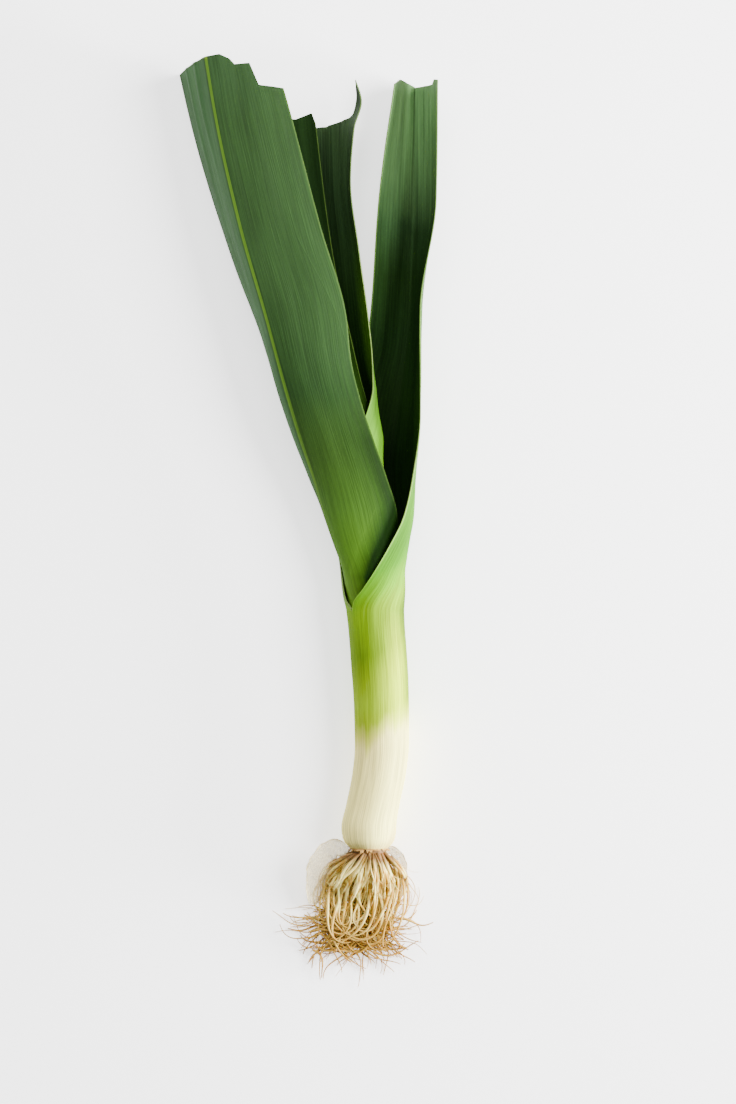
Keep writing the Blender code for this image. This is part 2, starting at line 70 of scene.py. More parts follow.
# The sheet that every leaf is made from: its rows, softened places, relief and wall, in millimetres.
sheet = {
    "lead": (24, 12, 0), "beforeNotch": 3, "shortStep": 1.2, "stepGrowth": 1.05, "longStep": 3.2,
    "endRows": 24, "opensOver": 30, "foldWidth": 0.028, "foldPasses": 5, "notchAhead": 4,
    "notchReach": 9, "notchPasses": 14, "fluteScale": (5, 0.5), "waveScale": (1.1, 0.9),
    "closedFlute": 0.3, "wavesFrom": 60, "wavesOver": 120, "pleatRun": 60, "clear": 0.02,
    "wall": 1.3, "marginWall": 0.42, "marginTaper": 1.5, "insideIndex": 1, "rimIndex": 2,
    "seamSlack": 0.1, "seamWidth": 0.02, "easeFrom": 8, "easeFold": 0.985, "easePasses": 16,
}


def deselectAll():
    for each in bpy.context.selected_objects:
        each.select_set(False)


def pick(piece):
    # this piece alone is selected and active
    deselectAll()
    bpy.context.view_layer.objects.active = piece
    piece.select_set(True)


def addPiece(name, operator, **how):
    # a new primitive, light or camera, with everything else deselected
    deselectAll()
    operator(**how)
    piece = bpy.context.object
    piece.name = name
    return piece


def editMesh(piece, kind="EDGE"):
    # opens a piece in edit mode with nothing selected
    pick(piece)
    bpy.ops.object.mode_set(mode="EDIT")
    bpy.ops.mesh.select_mode(type=kind)
    bpy.ops.mesh.select_all(action="DESELECT")
    return bmesh.from_edit_mesh(piece.data)


def leaveEdit():
    bpy.ops.object.mode_set(mode="OBJECT")


def cutRings(piece, cuts):
    # cuts the side of a new cylinder into rings
    tube = editMesh(piece)
    for edge in tube.edges:
        edge.select = abs(edge.verts[0].co.z - edge.verts[1].co.z) > 1
    bpy.ops.mesh.subdivide(number_cuts=cuts)
    leaveEdit()


def thicken(piece, thickness, offset, **values):
    # gives a sheet its wall
    wall = piece.modifiers.new("wall", "SOLIDIFY")
    wall.thickness = thickness * mm
    wall.offset = offset
    for name, value in values.items():
        setattr(wall, name, value)
    pick(piece)
    bpy.ops.object.modifier_apply(modifier=wall.name)


def finishPiece(piece, node, slot, angle, *materials):
    # skins and smooth shading, then what the piece rides on and replaces
    for material in materials:
        piece.data.materials.append(material)
    pick(piece)
    bpy.ops.object.shade_smooth_by_angle(angle=radians(angle))
    piece.select_set(False)
    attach(piece, "root")
    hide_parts(node)
    print("made", piece.name, len(piece.data.polygons), "faces")


def toFrame(points):
    # plant millimetres to metres in the frame
    return (points + np.array([plantX, plantY, 0])) * mm


def gridIndex(place, count):
    # row or column of a new primitive's vertex, whose place runs from -1 to 1
    return round((place + 1) / 2 * count)


def columnSlopes(t, values):
    # slopes that never carry a stretch of the table past its two ends
    step = np.diff(t)
    rise = np.diff(values) / step
    slope = np.zeros(len(values))
    slope[0] = rise[0]
    slope[-1] = rise[-1]
    for i in range(1, len(values) - 1):
        if rise[i - 1] * rise[i] > 0:
            a = 2 * step[i] + step[i - 1]
            b = step[i] + 2 * step[i - 1]
            slope[i] = (a + b) / (a / rise[i - 1] + b / rise[i])
    return slope


def smoothAt(table, at):
    # smooth values of a table (distance, value, ...) at many distances, without overshoot
    rows = np.array(table, dtype=float)
    t = rows[:, 0]
    at = np.clip(at, t[0], t[-1])
    i = np.clip(np.searchsorted(t, at, side="right") - 1, 0, len(t) - 2)
    step = t[i + 1] - t[i]
    s = (at - t[i]) / step
    result = []
    for column in rows.T[1:]:
        slope = columnSlopes(t, column)
        result.append(column[i] * (1 + 2 * s) * (1 - s) ** 2 + slope[i] * step * s * (1 - s) ** 2
                      + column[i + 1] * s * s * (3 - 2 * s) + slope[i + 1] * step * s * s * (s - 1))
    return np.stack(result, axis=1)


def shaftCircle(along, layer):
    # middle (x, z) and outer radius of a layer of the shaft
    line = smoothAt(shaft["line"], along)
    outer = shaft["radius"] * line[:, 1]
    middle = np.stack([line[:, 0], outer - shaft["flat"] + smoothAt(shaft["lift"], along)[:, 0]], axis=1)
    return middle, outer - layer * (shaft["wall"] + shaft["gap"])


def tubeRows(along, layer, turn):
    # the closed tube as a keel, both margins at the seam and two half circles
    middle, radius = shaftCircle(along, layer)
    out = radius[:, None] * np.array([cos(radians(turn)), sin(radians(turn))])
    half = np.full((len(along), 2), 0.5)
    return np.concatenate([middle + out, middle - out, middle - out, half], axis=1)


def arcPoint(start, end, bulge, side, share):
    # a point at a share of the circular arc from start to end
    chord = end - start
    bulge = np.maximum(bulge, 0.001)
    half = 2 * np.arctan(2 * bulge)
    out = side[:, None] * np.stack([chord[:, 1], -chord[:, 0]], axis=1)
    centre = (start + end) / 2 + out * (bulge - 0.5 / np.sin(half))[:, None]
    first = start - centre
    turn = side * 2 * half * share
    c, s = np.cos(turn), np.sin(turn)
    return centre + np.stack([c * first[:, 0] - s * first[:, 1], s * first[:, 0] + c * first[:, 1]], axis=1)


def leafSection(leaf, across, along):
    # outer skin (x, z) at across -1 back margin .. 0 keel .. 1 front margin
    notch = leaf["notch"]
    lead = notch - np.array(sheet["lead"])
    leadRows = np.concatenate([lead[:, None], tubeRows(lead, leaf["layer"], leaf["turn"])], axis=1)
    opened = smoothAt(np.concatenate([leadRows, np.array(leaf["rows"])]), along)
    row = np.where(along[:, None] <= notch, tubeRows(along, leaf["layer"], leaf["turn"]), opened)
    atFront = across >= 0
    margin = np.where(atFront[:, None], row[:, 2:4], row[:, 4:6])
    side = np.where(atFront, leaf["side"], -leaf["side"])
    points = arcPoint(row[:, 0:2], margin, np.where(atFront, row[:, 6], row[:, 7]), side, np.abs(across))
    clamp = (along > notch) | (leaf["layer"] == 0)
    floor = smoothAt(leaf["floor"], along)[:, 0]
    points[:, 1] = np.where(clamp, np.maximum(points[:, 1], floor), points[:, 1])
    return points


def leafDistances(leaf):
    # rows of the sheet: wide apart in the shaft, close at the notch and in the cut end
    y = leaf["notch"]
    foot = shaft["feet"][leaf["layer"]]
    rows = [ring for ring in shaft["rings"] if foot <= ring < y - sheet["beforeNotch"]] + [y]
    step = sheet["shortStep"]
    while y + step < leaf["cutFrom"]:
        y += step
        rows.append(y)
        step = min(step * sheet["stepGrowth"], sheet["longStep"])
    longest = max(end[1] for end in leaf["ends"])
    rows += list(np.linspace(leaf["cutFrom"], longest, sheet["endRows"]))
    return np.array(rows)


def openShare(leaf, along, run=sheet["opensOver"]):
    return np.clip((along - leaf["notch"]) / run, 0, 1)


def roundFold(points, across, share):
    # rounds the fold at the keel by averaging neighbours beside it
    near = (np.exp(-(across / sheet["foldWidth"]) ** 2)[None, :] * share)[:, :, None]
    for _ in range(sheet["foldPasses"]):
        between = points.copy()
        between[:, 1:-1] = (points[:, :-2] + 2 * points[:, 1:-1] + points[:, 2:]) / 4
        points = points * (1 - near) + between * near
    return points


def softenNotch(points, across, along, notch):
    # evens out the turn from the sheath to the blade, least at the margins
    near = np.exp(-((along - notch - sheet["notchAhead"]) / sheet["notchReach"]) ** 2)
    near = (near * (1 - np.abs(across)[None, :] ** 8))[:, :, None]
    for _ in range(sheet["notchPasses"]):
        between = points.copy()
        before, after = points[:-2, :, :], points[2:, :, :]
        y = points[1:-1, :, 1:2]
        share = (y - before[:, :, 1:2]) / (after[:, :, 1:2] - before[:, :, 1:2])
        between[1:-1] = 0.5 * points[1:-1] + 0.5 * (before + (after - before) * share)
        points = points * (1 - near) + between * near
    return points


def outwardNormals(points, side):
    # unit normals of the sheet pointing out of its fold
    lengthwise = np.gradient(points, axis=0)
    crosswise = np.gradient(points, axis=1)
    normals = np.cross(lengthwise, crosswise) * side
    return normals / np.maximum(np.linalg.norm(normals, axis=2, keepdims=True), 1e-9)


def sheetNoise(place, scale, seed):
    # relief over the round of the leaf (x, along, z), with one scale across and one along
    across, along = scale
    return noise.noise(Vector((place[0] * across, place[1] * along, place[2] * across + seed)))


def leafSurface(leaf):
    # the sheet as a grid of points, with its flutes, waves and curled margins
    across = np.linspace(-1, 1, leaf["columns"] + 1)
    distances = leafDistances(leaf)
    a, d = np.meshgrid(across, distances)
    cut = leaf["cutFrom"]
    ends = np.interp(across, [end[0] for end in leaf["ends"]], [end[1] for end in leaf["ends"]])
    reach = (ends - cut) / (distances[-1] - cut)
    along = np.where(d > cut, cut + (d - cut) * reach[None, :], d)
    flat = leafSection(leaf, a.ravel(), along.ravel())
    points = np.stack([flat[:, 0], along.ravel(), flat[:, 1]], axis=1).reshape(*a.shape, 3)
    opened = openShare(leaf, along)
    points = roundFold(points, across, opened)
    points = softenNotch(points, across, along, leaf["notch"])
    normals = outwardNormals(points, leaf["side"])
    free = openShare(leaf, along - sheet["wavesFrom"], sheet["wavesOver"])
    fluted = sheet["closedFlute"] + (1 - sheet["closedFlute"]) * opened
    fold = np.stack([np.sin(pi * a), along * 0.02, np.cos(pi * a)], axis=2)
    lift = np.zeros(a.shape)
    for i, j in np.ndindex(a.shape):
        flute = sheetNoise(fold[i, j], sheet["fluteScale"], leaf["seed"])
        wave = sheetNoise(fold[i, j], sheet["waveScale"], 3 * leaf["seed"])
        lift[i, j] = leaf["flute"] * flute * fluted[i, j] + leaf["wave"] * wave * free[i, j]
    for place, width, depth, start in leaf["pleats"]:
        deep = np.clip((along - start) / sheet["pleatRun"], 0, 1) ** 1.5
        lift += depth * deep * np.exp(-((a - place) / width) ** 2)
    points += normals * lift[:, :, None]
    points[:, :, 2] = np.maximum(points[:, :, 2], sheet["clear"])
    return across, distances, along, points, normals


def tearSheet(piece, leaf, distances):
    # cuts the sheet lengthwise along each tear, so that its sides can part
    flat = editMesh(piece)
    sameLine = 1e-4
    for tear in leaf["tears"]:
        place = gridIndex(tear["at"], leaf["columns"]) / leaf["columns"] * 2 - 1
        first = float(np.interp(tear["from"], distances, np.arange(len(distances))))
        start = first / (len(distances) - 1) * 2 - 1
        for edge in flat.edges:
            low, high = edge.verts[0].co, edge.verts[1].co
            offLine = max(abs(low.x - place), abs(high.x - place))
            edge.select = offLine < sameLine and min(low.y, high.y) > start
        bpy.ops.mesh.edge_split(type="EDGE")
    leaveEdit()


def placeSheet(piece, leaf, across, distances, along, points, normals):
    # moves every vertex of the flat grid to its place on the leaf and writes its grain
    mesh = piece.data
    wall = piece.vertex_groups.new(name="wall")
    grain = np.zeros((len(mesh.vertices), 3))
    stripOf = {}
    for face in mesh.polygons:
        middle = sum((mesh.vertices[v].co.x for v in face.vertices)) / len(face.vertices)
        for v in face.vertices:
            stripOf[v] = middle
    for vertex in mesh.vertices:
        column = gridIndex(vertex.co.x, leaf["columns"])
        row = gridIndex(vertex.co.y, len(distances) - 1)
        place = points[row, column].copy()
        a, y = across[column], along[row, column]
        for tear in leaf["tears"]:
            if stripOf[vertex.index] > tear["at"] and y > tear["from"]:
                share = min((y - tear["from"]) / tear["run"], 1)
                place += normals[row, column] * tear["lift"] * share ** 1.3
        place[2] = max(place[2], sheet["clear"])
        grain[vertex.index] = (sin(pi * a), y * mm, cos(pi * a))
        thin = openShare(leaf, y) * abs(a) ** sheet["marginTaper"]
        wall.add([vertex.index], 1 - thin, "REPLACE")
        vertex.co = toFrame(place)
    mesh.attributes.new("grain", "FLOAT_VECTOR", "POINT").data.foreach_set("vector", grain.ravel())
    mesh.update()


def weldSeam(piece, notch):
    # joins both margins up to the notch, so that the sheath is a tube
    limit = (plantY + notch + sheet["seamSlack"]) * mm
    flat = editMesh(piece, "VERT")
    for vertex in flat.verts:
        vertex.select = vertex.is_boundary and vertex.co.y < limit
    bpy.ops.mesh.remove_doubles(threshold=sheet["seamWidth"] * mm)
    leaveEdit()


def faceOutwards(piece, leaf):
    # the grid's faces point into the fold of a leaf whose side is 1
    if leaf["side"] > 0:
        editMesh(piece)
        bpy.ops.mesh.select_all(action="SELECT")
        bpy.ops.mesh.flip_normals()
        leaveEdit()


def easeInnerFold(piece, leaf):
    # the wall's inner side bunches up in the tight fold at the keel: its points there are evened out
    low = (leaf["notch"] + sheet["easeFrom"]) * mm
    shell = editMesh(piece, "VERT")
    grain = shell.verts.layers.float_vector["grain"]
    for face in shell.faces:
        if face.material_index == sheet["insideIndex"]:
            for vertex in face.verts:
                _, along, fold = vertex[grain]
                vertex.select = fold > sheet["easeFold"] and low < along
    bpy.ops.mesh.vertices_smooth(factor=0.5, repeat=sheet["easePasses"])
    leaveEdit()


def addNode(tree, kind, **values):
    node = tree.nodes.new("ShaderNode" + kind)
    for name, value in values.items():
        if hasattr(node, name):
            setattr(node, name, value)
        else:
            node.inputs[name].default_value = value
    return node


def fedNode(source, kind, **values):
    # a new node beside the source, whose first socket takes it
    node = addNode(source.id_data, kind, **values)
    source.id_data.links.new(source, node.inputs[0])
    return node


def splitAxes(place):
    return fedNode(place, "SeparateXYZ").outputs


def stretched(place, along):
    # the same place with its lengthwise axis scaled, so that noise on it is drawn out
    return fedNode(place, "Mapping", Scale=(1, along, 1)).outputs[0]


def noiseNode(place, scale, detail):
    return fedNode(place, "TexNoise", Scale=scale, Detail=detail).outputs["Fac"]


def rampNode(source, stops):
    # stops with a number instead of a colour are greys
    ramp = fedNode(source, "ValToRGB")
    elements = ramp.color_ramp.elements
    elements.remove(elements[1])
    for index, (place, colour) in enumerate(stops):
        element = elements[0] if index == 0 else elements.new(place)
        element.position = place
        element.color = (*colour, 1) if isinstance(colour, tuple) else (colour, colour, colour, 1)
    return ramp.outputs["Color"]


def remap(source, low, high, outLow=0, outHigh=1, kind="LINEAR"):
    node = addNode(source.id_data, "MapRange", interpolation_type=kind, clamp=True)
    feed(node.inputs, (source, low, high, outLow, outHigh))
    return node.outputs[0]


def feed(sockets, values):
    # each socket takes a link, a colour or a number
    for socket, value in zip(sockets, values):
        if isinstance(value, bpy.types.NodeSocket):
            socket.id_data.links.new(value, socket)
        else:
            socket.default_value = (*value, 1) if isinstance(value, tuple) else value


def mathNode(operation, first, *others, clamp=False):
    node = addNode(first.id_data, "Math", operation=operation, use_clamp=clamp)
    feed(node.inputs, (first, *others))
    return node.outputs[0]


def product(first, *others):
    for other in others:
        first = mathNode("MULTIPLY", first, other)
    return first


def swing(source, amount):
    # noise as a shift to both sides
    return product(mathNode("SUBTRACT", source, 0.5), amount)


def mmRange(source, low, high, outLow=0, outHigh=1):
    return remap(source, low * mm, high * mm, outLow, outHigh)


def mix(factor, first, second, blend="MIX"):
    tree = (first if blend == "MULTIPLY" else factor).id_data
    node = addNode(tree, "Mix", data_type="RGBA", blend_type=blend)
    feed((node.inputs[0], *node.inputs[6:8]), (factor, first, second))
    return node.outputs[2]


def toned(colour, tone):
    # a colour made darker or lighter by a value around 1
    grey = addNode(tone.id_data, "CombineColor")
    feed(grey.inputs, (tone, tone, tone))
    return mix(1, colour, grey.outputs[0], "MULTIPLY")


def grainNode(tree):
    # the leaf's own places: x and z on a round of radius 1 from the keel, y along it in metres
    return addNode(tree, "Attribute", attribute_name="grain").outputs["Vector"]


def newMaterial(name, sockets):
    material = bpy.data.materials.new(name)
    material.use_nodes = True
    shader = material.node_tree.nodes["Principled BSDF"]
    for socket, value in sockets.items():
        shader.inputs[socket].default_value = value
    return material, material.node_tree, shader


def addBump(shader, height, strength, distance):
    bump = addNode(shader.id_data, "Bump", Strength=strength, Distance=distance * mm)
    feed((bump.inputs["Height"], shader.inputs["Normal"]), (height, bump.outputs["Normal"]))


def besideLine(axes, line):
    # how far across a place lies from a line that slants over the leaf
    low, acrossLow, high, acrossHigh = line
    place = mmRange(axes["along"], low, high, acrossLow, acrossHigh)
    return mathNode("SUBTRACT", axes["across"], place)


def zoneShare(axes, zone):
    # how much a zone covers: its ramps multiplied
    if "line" in zone:
        axes = {**axes, "line": besideLine(axes, zone["line"])}
    share = zone.get("strength", 1)
    for axis, start, full in zone["ramps"]:
        ramp = mmRange if axis == "along" else remap
        share = product(ramp(axes[axis], start, full), share)
    return share


def leafMaterial(name, look):
    # colour along the leaf and in zones, many of them painted shade and light, painted shade and highlight
    # beside a crease, ribs and fine veins, a pale keel and margins, satin wax
    material, tree, shader = newMaterial(name, {
        "Specular IOR Level": look["gloss"], "Subsurface Weight": look["glow"],
        "Subsurface Radius": (1, 1, 0.4), "Subsurface Scale": 0.003})
    grain = grainNode(tree)
    side, along, fold = splitAxes(grain)
    lines = stretched(grain, look["lineStretch"])
    veins = noiseNode(lines, look["veinScale"], 1)
    bands = noiseNode(lines, look["bandScale"], 2)
    patches = noiseNode(stretched(grain, look["patchStretch"]), look["patchScale"], 3)
    wobble = mathNode("ADD", swing(bands, look["wobble"]), swing(patches, look["blotch"]))
    if "slant" in look:
        back = remap(fold, -0.5, -0.92, 0, look["slant"])
        front = remap(fold, -0.4, 0.7, 0, look["slant"])
        wobble = mathNode("SUBTRACT", mathNode("ADD", wobble, back), front)
    reach = mmRange(mathNode("ADD", along, wobble), 0, look["length"])
    colour = rampNode(reach, [(place / look["length"], tint) for place, tint in look["stops"]])
    across = mathNode("DIVIDE", mathNode("ARCTAN2", side, fold), pi)
    axes = {"side": side, "along": along, "fold": fold, "across": across}
    if "crease" in look:
        # painted shade and highlight: a dark band and then a light one beside a slanting line, as a lit
        # fold shows
        beside = remap(besideLine(axes, look["crease"]), -0.05, 0.05)
        tone = rampNode(beside, look["creaseShadeAndLight"])
        colour = mix(1, colour, tone, "MULTIPLY")
    # each zone mixes or multiplies its colour where its ramps cover the leaf; most zones are painted shade,
    # shadow, sheen and light
    for zone in look["zones"]:
        tint = zone["colour"]
        if "upper" in zone:
            low, high, upper = zone["upper"]
            tint = mix(mmRange(along, low, high), tint, upper)
        colour = mix(zoneShare(axes, zone), colour, tint, zone.get("blend", "MIX"))
    colour = toned(colour, remap(bands, 0.32, 0.68, 1 - look["ribs"], 1 + look["ribs"]))
    colour = toned(colour, remap(veins, 0.34, 0.66, look["veinLow"], look["veinHigh"]))
    colour = toned(colour, remap(patches, 0.3, 0.75, 0.86, 1.12))
    opened = mmRange(along, look["opens"], look["opens"] + look["opensOver"])
    wide = look["keelWidth"]
    keelLine = remap(fold, 1 - wide, 1 - 0.06 * wide, kind="SMOOTHSTEP")
    broken = remap(bands, 0.3, 0.6, 0.7, 1)
    keelLine = product(keelLine, opened, broken, look["keel"])
    colour = mix(keelLine, colour, look["keelColour"])
    offSeam = mathNode("ABSOLUTE", mathNode("SUBTRACT", side, 0.03))
    seamLine = remap(offSeam, 0.022, 0.006, 0, look["keelSeam"], kind="SMOOTHSTEP")
    colour = mix(product(seamLine, keelLine, opened), colour, look["keelDark"])
    marginLine = remap(fold, -0.9965, -0.9992, kind="SMOOTHSTEP")
    marginLine = product(marginLine, opened, look["margin"])
    colour = mix(marginLine, colour, look["marginColour"])
    tree.links.new(colour, shader.inputs["Base Color"])
    rough = remap(bands, 0.3, 0.7, look["rough"] - 0.07, look["rough"] + 0.08)
    tree.links.new(rough, shader.inputs["Roughness"])
    addBump(shader, mathNode("ADD", veins, product(bands, 0.5)), 0.55, 0.25)
    return material


def rimMaterial(name, look):
    # the edge of a leaf: pale with specks beside the shaft, green further out
    material, tree, shader = newMaterial(name, {"Roughness": 0.6, "Specular IOR Level": 0.2})
    speck = noiseNode(addNode(tree, "TexCoord").outputs["Object"], 900, 3)
    colour = mix(remap(speck, 0.35, 0.65), look["rim"], look["rimSpeck"])
    along = splitAxes(grainNode(tree))[1]
    low, high = (look["opens"] + distance for distance in look["rimFades"])
    colour = mix(mmRange(along, low, high, 0, 0.8), colour, look["rimFar"])
    tree.links.new(colour, shader.inputs["Base Color"])
    return material


# Colours: linear values from the base plate to the tip.
white = (0.9, 0.84, 0.27)
cream = (0.8, 0.68, 0.22)
lime = (0.26, 0.37, 0.001)
fresh = (0.155, 0.26, 0.0006)
paleGreen = (0.042, 0.145, 0.005)
middleGreen = (0.045, 0.11, 0.01)
deepGreen = (0.02, 0.052, 0.014)
# near-black inner green: the leaf's own inner green with painted shade deep in the sheath and trough
shadedInnerGreen = (0.003, 0.01, 0.0015)
paleEdge = (0.26, 0.46, 0.08)

# Stops and zones lie along the leaf in millimetres. A ramp names an axis, where its zone starts and
# where it is full: across runs from -1 at the back margin over 0 at the keel to 1 at the front margin,
# side and fold are its sine and cosine, and line is the distance from a slanting line.
leafLook = {
    "length": 440, "opens": 150, "opensOver": 40, "zones": [], "wobble": 0.012, "blotch": 0.016,
    "lineStretch": 1.3, "veinScale": 26, "bandScale": 8, "patchStretch": 14, "patchScale": 1.6,
    "veinLow": 0.86, "veinHigh": 1.14, "ribs": 0.08, "rough": 0.7, "gloss": 0.12, "glow": 0.1,
    "keel": 0.75, "keelWidth": 0.007, "keelColour": (0.1, 0.21, 0.018), "keelSeam": 0.7,
    "keelDark": (0.03, 0.075, 0.006), "margin": 0.5, "marginColour": paleEdge, "rim": (0.1, 0.19, 0.03),
    "rimSpeck": (0.19, 0.26, 0.07), "rimFar": (0.026, 0.06, 0.01), "rimFades": (80, 130),
}
outsides = {
    "leaf_1": {
        "stops": [(0, cream), (6, white), (62, white), (68, (0.62, 0.66, 0.1)), (76, (0.3, 0.42, 0.001)),
                  (86, (0.31, 0.44, 0.001)), (98, (0.25, 0.36, 0.0006)), (112, (0.145, 0.24, 0.0004)),
                  (124, fresh), (138, (0.16, 0.29, 0.0005)), (148, (0.11, 0.28, 0.001)),
                  (161, (0.054, 0.19, 0.003)), (174, paleGreen), (200, paleGreen), (262, middleGreen),
                  (330, deepGreen), (438, deepGreen)],
        # painted shade: the shaft darker on its left side, grey on the white part and olive on the green
        "zones": [{"ramps": [("fold", -0.3, -0.82), ("along", 150, 120)], "blend": "MULTIPLY",
                   "colour": (0.78, 0.74, 0.78), "upper": (62, 78, (0.72, 0.8, 1))},
                  # painted highlight: pale yellow light on the right of the shaft's green part, full from
                  # 80 to 100 mm
                  {"ramps": [("fold", -0.36, 0.1), ("along", 64, 80), ("along", 132, 100)],
                   "strength": 0.62, "colour": (0.53, 0.7, 0.002)},
                  # painted shade: darker where the leaf turns under at the shaft's right edge, from the
                  # green part up
                  {"ramps": [("fold", 0.15, 0.6), ("along", 66, 84)], "blend": "MULTIPLY",
                   "colour": (0.34, 0.4, 0.1)}],
        "opens": 128, "slant": 0.008, "veinLow": 0.8, "veinHigh": 1.2, "gloss": 0.05,
        "rimFar": (0.05, 0.11, 0.016)},
    "leaf_2": {
        "stops": [(0, white), (70, white), (90, lime), (128, (0.07, 0.14, 0.008)),
                  (165, (0.06, 0.145, 0.01)), (190, (0.045, 0.108, 0.013)), (215, (0.028, 0.066, 0.01)),
                  (250, (0.013, 0.0345, 0.0082)), (300, (0.0124, 0.0312, 0.0076)),
                  (400, (0.0108, 0.0268, 0.0068)), (438, (0.0135, 0.032, 0.01))],
        # crease: painted shade and highlight beside a line from the front margin at 270 mm to two thirds
        # across at 336 mm
        "crease": (270, 1, 336, 0.66),
        "creaseShadeAndLight": [(0, 1), (0.36, 1), (0.45, 0.84), (0.52, 1.3), (0.62, 1.1)],
        # painted sheen: the steep left face greyed, as if it mirrored the bright room
        "zones": [{"ramps": [("side", 0.05, -0.25), ("along", 170, 210)], "strength": 0.75,
                   "colour": (0.046, 0.11, 0.04)},
                  # painted shadow: the front half dark where leaf_1's wall shades it, full below 225 mm and
                  # gone by 270 mm
                  {"ramps": [("across", 0.42, 0.92), ("along", 270, 225)], "colour": (0.005, 0.017, 0.001)},
                  # painted shadow: a slanting dark band in the throat beside leaf_1's margin, up to about
                  # 200 mm
                  {"line": (150, 0.19, 195, 0.9), "ramps": [("line", -0.05, 0.19), ("along", 205, 190)],
                   "colour": (0.003, 0.014, 0.0004)}],
        "opens": 170, "keel": 0.85, "keelWidth": 0.006, "gloss": 0.045, "margin": 0.05,
        "rim": (0.024, 0.048, 0.012), "rimSpeck": (0.055, 0.085, 0.03)},
    "leaf_3": {
        "stops": [(0, white), (120, lime), (205, (0.1, 0.29, 0.003)), (245, (0.062, 0.18, 0.007)),
                  (300, middleGreen), (424, deepGreen)],
        "opens": 230},
    "leaf_4": {
        # painted shadow: near-black stops above 200 mm and a dark rim, where leaf_2 shades this strip
        "stops": [(0, white), (120, lime), (200, (0.02, 0.05, 0.002)), (230, (0.0055, 0.015, 0.0015)),
                  (290, (0.0025, 0.007, 0.001)), (360, (0.003, 0.008, 0.002)),
                  (424, (0.0045, 0.011, 0.003))],
        "opens": 230, "keel": 0.3, "gloss": 0, "margin": 0.1, "rim": (0.012, 0.03, 0.006),
        "rimSpeck": (0.03, 0.06, 0.014)},
    "leaf_5": {
        "stops": [(0, white), (120, lime), (240, fresh), (300, middleGreen), (380, deepGreen)],
        "opens": 250},
}
# inside skins: painted shade makes them near-black from 180 mm, lighter again towards the open tips
sheathStops = [(0, white), (110, lime), (140, (0.06, 0.14, 0.01)), (180, shadedInnerGreen)]
inside = {
    "stops": sheathStops + [(240, shadedInnerGreen), (300, (0.01, 0.028, 0.005)), (360, (0.019, 0.043, 0.014)),
                            (438, (0.026, 0.05, 0.019))],
    # on the inside the keel is a thin dark line: painted shade in the crease of the fold
    "keel": 0.7, "keelWidth": 0.0008, "keelColour": (0.004, 0.012, 0.002), "keelSeam": 0,
    "rough": 0.62, "gloss": 0.03, "glow": 0.05, "ribs": 0.2,
}
edgeRamps = [("across", 0.5, 0.92), ("along", 345, 300)]
insides = {
    "leaf_1": {
        # painted shade: near-black low in the trough and lighter towards the top
        "stops": sheathStops + [(215, shadedInnerGreen), (248, (0.0065, 0.02, 0.003)),
                                (285, (0.0078, 0.024, 0.005)), (318, (0.009, 0.026, 0.005)),
                                (345, (0.016, 0.04, 0.012)), (372, (0.034, 0.074, 0.024)),
                                (438, (0.035, 0.068, 0.023))],
        # painted light: the right inner wall lightened near the top, where the lamps leave it dark
        "zones": [{"ramps": [("side", -0.25, 0.05), ("along", 340, 410)], "colour": (0.105, 0.215, 0.078)},
                  # painted light: a strip left of the fold lightened, taking out the shadow that the right
                  # wall casts on it
                  {"ramps": [("across", -0.44, -0.22), ("across", 0, -0.12), ("along", 345, 405)],
                   "colour": (0.12, 0.245, 0.084)},
                  {"ramps": edgeRamps, "colour": (0.012, 0.042, 0.003)}],
        "margin": 0.15},
    "leaf_3": {"zones": [{"ramps": edgeRamps, "colour": (0.04, 0.11, 0.005)}]},
}

